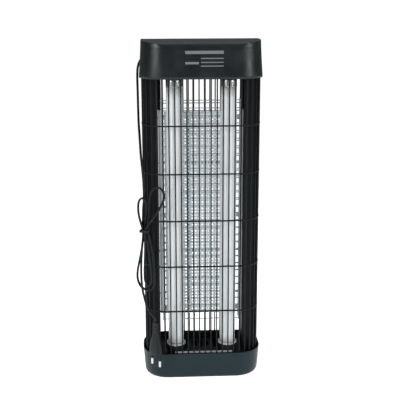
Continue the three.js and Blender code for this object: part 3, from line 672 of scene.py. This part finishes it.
PRINT_BARS = [  # left, right, bottom, top
    (-26, 33, 537.6, 542.4), (-26, -5, 522, 525.6), (-2, 33, 530, 531.6),
    (-2, 33, 524, 525.6), (-2, 33, 518.4, 520),
]
bm = bmesh.new()
for left, right, low, high in PRINT_BARS:
    made = bmesh.ops.create_cube(bm, size=1)["verts"]
    middle = (low + high) / 2
    lean = math.atan2(front_of_hood(high) - front_of_hood(low), high - low)
    bmesh.ops.transform(bm, verts=made, matrix=(
        Matrix.Translation(((left + right) / 2, front_of_hood(middle) - INK_PROUD, middle))
        @ Matrix.Rotation(-lean, 4, "X") @ Matrix.Diagonal((right - left, INK_THICKNESS, high - low, 1))
    ))
as_piece(closed(bm), "hood_print", print_ink, "lamp_body")
print("printed bars:", len(PRINT_BARS))

# %% [markdown]
# ## Catch tray
# The tray is drawn the same way, but its first face stays as a floor, and its wall flares a little
# towards the rim. Four posts inside carry the lower deck.

# %% Tray shell
TRAY_CORNER = 36
TRAY_LEVELS = [  # height, half width, half depth
    (0, 91.4, 45.2), (0.4, 92.6, 46.2), (1.6, 93.8, 47.2), (3.2, 94.8, 48.1), (5, 95.4, 48.6),
    (14, 96.2, 48.9), (24, 97, 49.2), (34, 97.75, 49.5), (42.9, 98.45, 49.78), (43.7, 98.5, 49.8),
]
bm = bmesh.new()
drawn_shell(bm, TRAY_LEVELS, TRAY_CORNER, open_below=False)
tray = as_piece(closed(bm), "tray_shell", tray_abs, "tray", ["catch_tray"], crease=40)
walled(tray, 2)
rounded_edges(tray, 0.6, 2, 60)
bottom = min(tray.data.polygons, key=lambda p: p.center.z)
print("tray floor faces", "down" if bottom.normal.z < 0 else "up")

# %% Posts in the tray
POST_X, POST_Y, POST_HALF, POST_LOW, POST_HIGH = 84, 22, 5, 1.6, 30.3


def box(bm, x0, x1, y0, y1, z0, z1):
    made = bmesh.ops.create_cube(bm, size=1)["verts"]
    place = Matrix.Translation(((x0 + x1) / 2, (y0 + y1) / 2, (z0 + z1) / 2))
    bmesh.ops.transform(bm, verts=made, matrix=place @ Matrix.Diagonal((x1 - x0, y1 - y0, z1 - z0, 1)))


bm = bmesh.new()
for x in (-POST_X, POST_X):
    for y in (-POST_Y, POST_Y):
        box(bm, x - POST_HALF, x + POST_HALF, y - POST_HALF, y + POST_HALF, POST_LOW, POST_HIGH)
tray_posts = as_piece(closed(bm), "tray_posts", tray_abs, "tray")
rounded_edges(tray_posts, 0.8, 3)
print("tray post faces:", len(tray_posts.data.polygons))

# %% [markdown]
# ## Guard
# Four moulded grilles close the space between hood and tray: flat ones in front and behind, and
# one wrapped round each end. Each is a set of upright bars on five thin rings, between a deeper
# band at the foot and one at the head. The rings are made whole, cut where the grilles meet, and
# capped, so that the joints line up all the way round.

# %% Rings and bars
GUARD_WIDTH, GUARD_DEPTH, GUARD_CORNER, GUARD_THICK = 94.9, 46.8, 37, 3.6
GUARD_LOW, GUARD_HIGH, BAND, FLAT_FOOT = 33.6, 505.2, 5, 9.2
RING_HALF, FIRST_RING, RING_PITCH = 0.95, 117.8, 77
RINGS = [FIRST_RING + RING_PITCH * i for i in range(5)]
FLAT_HALF, BAR_WIDTH, HALF_GAP = 56.7, 2.0, 0.15
BAR_DEPTH = GUARD_THICK - 0.9
FRONT_BARS, REAR_BARS, END_BARS = 12, 13, 14


def ring(bm, low, high):
    before = set(bm.faces)
    face = plate(bm, GUARD_WIDTH, GUARD_DEPTH, GUARD_CORNER, low)
    bmesh.ops.inset_region(bm, faces=[face], thickness=GUARD_THICK, use_even_offset=True, use_boundary=True)
    bmesh.ops.delete(bm, geom=[face], context="FACES_ONLY")
    flat = [f for f in bm.faces if f not in before]
    lifted = bmesh.ops.extrude_face_region(bm, geom=flat, use_keep_orig=True)["geom"]
    bmesh.ops.translate(bm, vec=(0, 0, high - low), verts=verts_of(lifted))


def bar(bm, x, y, turn):
    made = bmesh.ops.create_cube(bm, size=1)["verts"]
    tall = GUARD_HIGH - GUARD_LOW - 2
    bmesh.ops.transform(bm, verts=made, matrix=(
        Matrix.Translation((x, y, (GUARD_HIGH + GUARD_LOW) / 2)) @ Matrix.Rotation(turn, 4, "Z")
        @ Matrix.Diagonal((BAR_DEPTH, BAR_WIDTH, tall, 1))
    ))


def cut(bm, point, normal):
    """Takes off what lies beyond a plane and caps what it opened."""
    bmesh.ops.bisect_plane(bm, geom=everything(bm), dist=0.0005, plane_co=point, plane_no=normal,
                           clear_outer=True)
    bmesh.ops.holes_fill(bm, edges=[e for e in bm.edges if e.is_boundary], sides=0)


def guard_rings(bm, foot):
    ring(bm, GUARD_LOW, foot)
    ring(bm, GUARD_HIGH - BAND, GUARD_HIGH)
    for middle in RINGS:
        ring(bm, middle - RING_HALF, middle + RING_HALF)
    closed(bm)


def grille(bm, name, node):
    bmesh.ops.recalc_face_normals(bm, faces=bm.faces)
    piece = as_piece(bm, name, guard_abs, "lamp_body", [node])
    return rounded_edges(piece, 0.5)


# %% Flat grilles


def flat_grille(name, face, node, count, pitch):
    bm = bmesh.new()
    guard_rings(bm, GUARD_LOW + FLAT_FOOT)
    cut(bm, (0, 0, 0), (0, -face, 0))
    for side in (-1, 1):
        cut(bm, (side * (FLAT_HALF - HALF_GAP), 0, 0), (side, 0, 0))
    for i in range(count):
        bar(bm, (i - (count - 1) / 2) * pitch, face * (GUARD_DEPTH - GUARD_THICK / 2), math.pi / 2)
    return grille(bm, name, node)


front_grille = flat_grille("front_grille", -1, "guard_front", FRONT_BARS, 9.45)
flat_grille("rear_grille", 1, "guard_rear", REAR_BARS, 8.9)
print("front grille faces:", len(front_grille.data.polygons))

# %% Wrapped grilles


def end_bar_places():
    """Where the right-hand grille's bars stand, and their turns, evenly spaced round the outline."""
    radius = GUARD_CORNER - GUARD_THICK / 2
    corner = Vector((GUARD_WIDTH - GUARD_CORNER, GUARD_DEPTH - GUARD_CORNER))
    lead = corner.x - FLAT_HALF
    quarter = math.pi / 2 * radius
    total = 2 * (lead + quarter + corner.y)
    for i in range(END_BARS):
        walked = (i + 0.5) / END_BARS * total
        rear = walked > total / 2
        along = total - walked if rear else walked
        turn = min(max((along - lead) / radius, 0), math.pi / 2)
        climb = max(0, along - lead - quarter)
        x = min(corner.x, FLAT_HALF + along) + radius * math.sin(turn)
        y = -corner.y - radius * math.cos(turn) + climb
        flip = -1 if rear else 1
        yield x, y * flip, (turn - math.pi / 2) * flip


def wrapped_grille(name, side, node):
    bm = bmesh.new()
    guard_rings(bm, GUARD_LOW + BAND)
    cut(bm, (side * (FLAT_HALF + HALF_GAP), 0, 0), (-side, 0, 0))
    for x, y, turn in end_bar_places():
        bar(bm, side * x, y, side * turn)
    return grille(bm, name, node)


wrapped_grille("left_grille", -1, "guard_end_left")
wrapped_grille("right_grille", 1, "guard_end_right")
print("guard bars in all:", FRONT_BARS + REAR_BARS + 2 * END_BARS)

# %% [markdown]
# A narrow pale grey strip inside the front grille's foot band is a painted highlight, standing for
# the light that the tray's rim catches. It stands a little proud of the band, so that it shows as a
# row of light dashes between the bars.

# %% Foot strip, a painted highlight
STRIP_LEFT, STRIP_RIGHT, STRIP_FRONT, STRIP_BACK, STRIP_LOW, STRIP_HIGH = -45.5, 50, -43.1, -42.3, 36, 45.6
bm = bmesh.new()
box(bm, STRIP_LEFT, STRIP_RIGHT, STRIP_FRONT, STRIP_BACK, STRIP_LOW, STRIP_HIGH)
painted_highlight_strip = as_piece(closed(bm), "painted_highlight_strip", rim_highlight_grey, "lamp_body")
rounded_edges(painted_highlight_strip, 0.25)
print("foot strip, mm:", STRIP_RIGHT - STRIP_LEFT)

# %% [markdown]
# ## Decks, columns and rails
# Two flat decks and two channel-section columns are the skeleton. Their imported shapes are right, so
# they are copied with moulded edges.

# %% Decks, columns and rails
deck = softened("deck_lower", "lower_deck", guard_abs)
softened("deck_upper", "upper_deck", guard_abs)
for label in ("left", "right"):
    softened(f"column_{label}", f"side_column_{label}", guard_abs, radius=0.6)
    softened(f"rail_{label}", f"grid_rail_{label}", rail_phenolic)
    softened(f"lead_{label}", f"lamp_lead_{label}", lead_pvc, radius=0.9, segments=3)
print("lower deck faces:", len(deck.data.polygons))

# %% [markdown]
# ## Tubes
# Each tube is a 26 mm glass cylinder drawn in to a neck at both ends, where an aluminium cup is
# cemented on. The cup has a rolled rim, a ring of crimp dimples and an insulating disc that carries
# the two pins. Glass and cups turn together when the tube is twisted out of its holders.

# %% Tubes and caps
LAMP_X, LAMP_Y, LAMP_LOW, LAMP_HIGH = 43, -24, 40, 497
PIN_OFFSET = 6.35
GLASS = [
    (0, 43), (11, 43), (11.9, 44), (11.9, GLASS_LOW), (12.3, 52.7), (12.7, 53.8), (12.7, 483.2),
    (12.3, 484.3), (11.9, GLASS_HIGH), (11.9, 493), (11, 494), (0, 494),
]
CAP_CUP = [  # radius and distance in from the face
    (0, 0.6), (10.4, 0.6), (10.6, 0), (12.2, 0), (12.8, 0.3), (13, 0.9), (13, 4), (12.7, 4.4),
    (12.7, 5), (13, 5.4), (13, 10.6), (12.9, 11.4), (12.5, 12), (12.1, 11.8), (12.1, 3), (0, 3),
]


def lamp_cap(bm, x, face, up):
    place = Matrix.Translation((x, LAMP_Y, face)) @ Matrix.Diagonal((1, 1, -up, 1))
    turned(bm, CAP_CUP, place, 48)
    cup_faces = len(bm.faces)
    for side in (-1, 1):
        pin_place = Matrix.Translation((x + side * PIN_OFFSET, LAMP_Y, face)) @ Matrix.Diagonal((1, 1, up, 1))
        turned(bm, [(0, -1), (1.2, -1), (1.2, 6.4), (0.7, 7), (0, 7)], pin_place, 16)
    bm.faces.ensure_lookup_table()
    for pin_face in bm.faces[cup_faces:]:
        pin_face.material_index = 1


for side, label in ((-1, "left"), (1, "right")):
    body = f"lamp_{label}"
    bm = bmesh.new()
    turned(bm, GLASS, Matrix.Translation((side * LAMP_X, LAMP_Y, 0)), 48)
    as_piece(closed(bm), f"tube_glass_{label}", lamp_glass, body, [f"lamp_glass_{label}"])
    for end, face, up in (("lower", LAMP_LOW, -1), ("upper", LAMP_HIGH, 1)):
        bm = bmesh.new()
        lamp_cap(bm, side * LAMP_X, face, up)
        as_piece(closed(bm), f"tube_cap_{end}_{label}", [cap_aluminium, pin_brass], body,
                 [f"lamp_cap_{end}_{label}"])
print("tube between its cap faces, mm:", LAMP_HIGH - LAMP_LOW)

# %% [markdown]
# ## Lampholders and collars
# A holder is a rotary kind: a round groove lets the pins swing a quarter turn. It is turned whole,
# groove included, so nothing meets the pins as they go round. A pale collar steadies the glass.

# %% Holders and collars
HOLDER_LOWER = [
    (0, 26), (11.4, 26), (12, 26.6), (12, 33.6), (15, 33.6), (15.5, 34.1), (15.5, 52.5), (15, 53.2),
    (13.9, 53.2), (13.5, 52.8), (13.5, 39.7), (8.05, 39.7), (8.05, 32.2), (4.65, 32.2), (4.65, 39.7),
    (0, 39.7),
]
HOLDER_UPPER = [
    (0, 497.3), (4.65, 497.3), (4.65, 504.8), (8.05, 504.8), (8.05, 497.3), (15, 497.3), (15.5, 497.8),
    (15.5, 505.2), (12, 505.2), (12, 512.4), (11.4, 513), (0, 513),
]
COLLAR = [
    (13.6, 53.7), (13.8, 53.5), (15.1, 53.5), (15.5, 53.9), (15.5, 56.2), (14.9, 56.7), (13.9, 56.7),
    (13.6, 56.4),
]
for side, label in ((-1, "left"), (1, "right")):
    place = Matrix.Translation((side * LAMP_X, LAMP_Y, 0))
    for end, outline in (("lower", HOLDER_LOWER), ("upper", HOLDER_UPPER)):
        bm = bmesh.new()
        turned(bm, outline, place, 48)
        as_piece(closed(bm), f"holder_{end}_{label}", holder_pbt, "lamp_body",
                 [f"lampholder_{end}_{label}"])
    bm = bmesh.new()
    turned(bm, COLLAR + COLLAR[:1], place, 48)
    as_piece(closed(bm), f"collar_{label}", collar_pc, "lamp_body", [f"lamp_collar_{label}"])
print("holder rim and collar foot, mm:", max(z for _, z in HOLDER_LOWER), min(z for _, z in COLLAR))

# %% [markdown]
# ## High-voltage grid
# Three layers a few millimetres apart hold the voltage between them. The outer two are level steel
# wires welded to an upright strip at each end, the rear wires midway between the front ones. The
# middle one is a punched steel sheet. An insect that flies to the tubes bridges two of them.

# %% Wire layers
WIRE_RADIUS, WIRE_COUNT, WIRE_PITCH, WIRE_LOW, WIRE_HIGH = 0.8, 31, 12.4, 89, 461
WIRE_LENGTH, WELD_STRIP, STRIP_OVERRUN = 127.6, (63.2, 64.6), 2


def wire_layer(name, y, node, count):
    bm = bmesh.new()
    for i in range(count):
        z = (WIRE_LOW + WIRE_HIGH) / 2 + (i - (count - 1) / 2) * WIRE_PITCH
        place = Matrix.Translation((0, y, z)) @ Matrix.Rotation(math.pi / 2, 4, "Y")
        bmesh.ops.create_cone(bm, cap_ends=True, segments=10, radius1=WIRE_RADIUS, radius2=WIRE_RADIUS,
                              depth=WIRE_LENGTH, matrix=place)
    for side in (-1, 1):
        low, high = sorted(side * x for x in WELD_STRIP)
        box(bm, low, high, y - WIRE_RADIUS, y + WIRE_RADIUS,
            WIRE_LOW - STRIP_OVERRUN, WIRE_HIGH + STRIP_OVERRUN)
    return as_piece(bm, name, wire_steel, "lamp_body", [node])


wire_layer("wires_front", -6, "grid_front", WIRE_COUNT)
wire_layer("wires_rear", 8, "grid_rear", WIRE_COUNT - 1)
print("wires:", 2 * WIRE_COUNT - 1)

# %% [markdown]
# The sheet is punched with 2.9 mm holes on a 5.5 mm square pitch. One square with its round hole is
# drawn from a circle pushed out to a square, copied into a row, and the row into a field. Plain
# margins are then drawn out from the field's edges, the side ones turned back as a hem. Three tabs
# a side reach into the rails.

# %% Punched sheet
PITCH, HOLE, COLUMNS, ROWS = 5.5, 2.9, 20, 61
SHEET_Y, SHEET_LOW, SHEET_HIGH, SHEET_HALF = 1, 97, 442, 58.3
SHEET_THICKNESS, HEM = 0.7, 0.5
TABS, TAB_REACH, TAB_HALF, TAB_ROOT, TAB_HALF_THICK = (106, 269.5, 433), 64.4, 4, 3, 0.38


def punched_square(bm):
    upright = Matrix.Rotation(math.pi / 2, 4, "X")
    rim = bmesh.ops.create_circle(bm, radius=HOLE / 2, segments=16, matrix=upright)
    edges = list({e for v in rim["verts"] for e in v.link_edges})
    for vert in verts_of(bmesh.ops.extrude_edge_only(bm, edges=edges)["geom"]):
        vert.co *= PITCH / 2 / max(abs(vert.co.x), abs(vert.co.z))


def repeated(bm, count, step):
    base = everything(bm)
    for i in range(1, count):
        copy = bmesh.ops.duplicate(bm, geom=base)["geom"]
        bmesh.ops.translate(bm, vec=[c * i for c in step], verts=verts_of(copy))
    bmesh.ops.remove_doubles(bm, verts=bm.verts, dist=0.01)


def margin(bm, axis, at, by):
    """Draws the outer edges that lie at a coordinate further out by a vector."""
    edges = [e for e in bm.edges if e.is_boundary and all(abs(v.co[axis] - at) < 0.01 for v in e.verts)]
    pushed = bmesh.ops.extrude_edge_only(bm, edges=edges)["geom"]
    bmesh.ops.translate(bm, vec=by, verts=verts_of(pushed))


bm = bmesh.new()
punched_square(bm)
repeated(bm, COLUMNS, (PITCH, 0, 0))
repeated(bm, ROWS, (0, 0, PITCH))
field = Vector(((COLUMNS - 1) * PITCH / 2, 0, (ROWS - 1) * PITCH / 2))
bmesh.ops.translate(bm, vec=-field, verts=bm.verts)
half_field, half_tall = COLUMNS * PITCH / 2, ROWS * PITCH / 2
side_strip = SHEET_HALF - half_field
end_strip = (SHEET_HIGH - SHEET_LOW) / 2 - half_tall
for way in (-1, 1):
    margin(bm, 2, way * half_tall, (0, 0, way * end_strip))
for way in (-1, 1):
    margin(bm, 0, way * half_field, (way * side_strip, 0, 0))
    margin(bm, 0, way * SHEET_HALF, (0, HEM, 0))
bmesh.ops.translate(bm, vec=(0, SHEET_Y, (SHEET_HIGH + SHEET_LOW) / 2), verts=bm.verts)
sheet = as_piece(closed(bm), "punched_sheet", galvanised, "lamp_body", ["grid_centre"],
                 crease=50)
walled(sheet, SHEET_THICKNESS, offset=0)
bm = bmesh.new()
for way in (-1, 1):
    for z in TABS:
        low, high = sorted((way * (SHEET_HALF - TAB_ROOT), way * TAB_REACH))
        box(bm, low, high, SHEET_Y - TAB_HALF_THICK, SHEET_Y + TAB_HALF_THICK, z - TAB_HALF, z + TAB_HALF)
sheet_tabs = as_piece(closed(bm), "sheet_tabs", galvanised, "lamp_body")
rounded_edges(sheet_tabs, 0.25)
print("punched sheet faces:", len(sheet.data.polygons), "tabs:", 2 * len(TABS))

# %% [markdown]
# ## Electrics in the hood
# A small high-voltage transformer, a ballast and two starters stand on the upper deck, with a
# terminal block for the mains. They are out of sight, but they are what the hood is for, so each
# keeps its own finish.

# %% Electrics
STARTER_X, STARTER_Y = 70, -8
STARTER = [(0, 508.4), (10.2, 508.4), (10.2, 540.6), (9.6, 541.8), (8.4, 542.3), (0, 542.3)]
for coil in ("transformer", "ballast"):
    softened(f"{coil}_stack", f"{coil}_core", core_steel)
    softened(f"{coil}_coil", f"{coil}_winding", winding_copper, radius=1.2, segments=3)
softened("mains_terminal", "terminal_block", terminal_nylon, radius=0.8)
for side, label in ((-1, "left"), (1, "right")):
    bm = bmesh.new()
    turned(bm, STARTER, Matrix.Translation((side * STARTER_X, STARTER_Y, 0)), 32)
    as_piece(closed(bm), f"starter_can_{label}", starter_pc, "lamp_body",
             [f"starter_{label}"])
print("starter height, mm:", round(STARTER[-1][1] - STARTER[0][1], 1))

# %% [markdown]
# ## Screws
# Self-tapping pan-head screws: four hold the hood on the upper deck, and one at each end of each
# column. Turned heads with a small well in the crown, and a plain shank, because the thread is
# always inside a post.

# %% Screws
HOOD_SCREWS = [(-74, -30), (74, -30), (-60, 34), (74, 30)]
COLUMN_SCREW = (76.7, 12)
HOOD_SEAT, FOOT_SEAT, HEAD_SEAT = (505.2, 519), (30.3, 37), (508.3, 501.8)  # under the head, at the tip


def pan_head(name, node, x, y, seat, tip):
    up = math.copysign(1, tip - seat)
    long = abs(tip - seat)
    outline = [
        (0, -1.1), (0.9, -1.1), (1.3, -1.9), (1.9, -2), (2.7, -1.6), (3, -0.8), (3, 0), (1.4, 0),
        (1.4, long - 1.2), (0.4, long), (0, long),
    ]
    bm = bmesh.new()
    turned(bm, outline, Matrix.Translation((x, y, seat)) @ Matrix.Diagonal((1, 1, up, 1)), 24)
    as_piece(closed(bm), name, screw_zinc, "lamp_body", [node])


for number, (x, y) in enumerate(HOOD_SCREWS, 1):
    pan_head(f"hood_fixing_{number}", f"hood_screw_{number}", x, y, *HOOD_SEAT)
for side, label in ((-1, "left"), (1, "right")):
    x, y = side * COLUMN_SCREW[0], COLUMN_SCREW[1]
    pan_head(f"foot_fixing_{label}", f"column_screw_lower_{label}", x, y, *FOOT_SEAT)
    pan_head(f"head_fixing_{label}", f"column_screw_upper_{label}", x, y, *HEAD_SEAT)
print("screws:", len(HOOD_SCREWS) + 4)

# %% [markdown]
# ## Floor and light
# A floor of white acrylic, lit a little from beneath, under an even white surround. The surround is
# bright to the eye but dimmer to the lamp itself, as it is in a studio where the backdrop is lit
# apart from the subject. Three large soft panels model the dark plastic: a key from the front left,
# a fill from the right, and one overhead.

# %% Floor
FLOOR_RADIUS = 1.3
bm = bmesh.new()
bmesh.ops.create_circle(bm, cap_ends=True, radius=FLOOR_RADIUS, segments=96)
ground_mesh = bpy.data.meshes.new("floor")
bm.to_mesh(ground_mesh)
bm.free()
ground = bpy.data.objects.new("floor", ground_mesh)
bpy.context.scene.collection.objects.link(ground)
ground_mesh.materials.append(floor_acrylic)
print("floor radius, m:", FLOOR_RADIUS)

# %% Surround and soft panels
SEEN_SURROUND, LIT_SURROUND = (1.05, 1.05, 1.05, 1), (0.17, 0.185, 0.195, 1)
AIM = Vector((0, 0, 0.27))
SOFT_PANELS = [  # name, place, width and height, power in watts
    ("key_panel", (-1.6, -1.7, 1.1), (0.9, 1.6), 46),
    ("fill_panel", (1.8, -1.4, 0.9), (0.8, 1.6), 35),
    ("overhead_panel", (0, 0.3, 2.0), (3.0, 3.0), 20),
]
scene = bpy.context.scene
scene.view_settings.view_transform = "Standard"
world = bpy.data.worlds.new("studio")
world.use_nodes = True
scene.world = world
tree = world.node_tree
backdrop = tree.nodes["Background"]
seen = add(tree, "LightPath").outputs["Is Camera Ray"]
shade = add(tree, "Mix", {0: seen, 6: LIT_SURROUND, 7: SEEN_SURROUND}, data_type="RGBA")
tree.links.new(shade.outputs[2], backdrop.inputs["Color"])


def soft_panel(name, place, size, power):
    light = bpy.data.lights.new(name, "AREA")
    light.shape = "RECTANGLE"
    light.size, light.size_y = size
    light.energy = power
    lamp = bpy.data.objects.new(name, light)
    lamp.location = place
    lamp.rotation_mode = "QUATERNION"
    lamp.rotation_quaternion = (Vector(place) - AIM).to_track_quat("Z", "Y")
    scene.collection.objects.link(lamp)


for panel in SOFT_PANELS:
    soft_panel(*panel)
print("lights:", len(SOFT_PANELS))
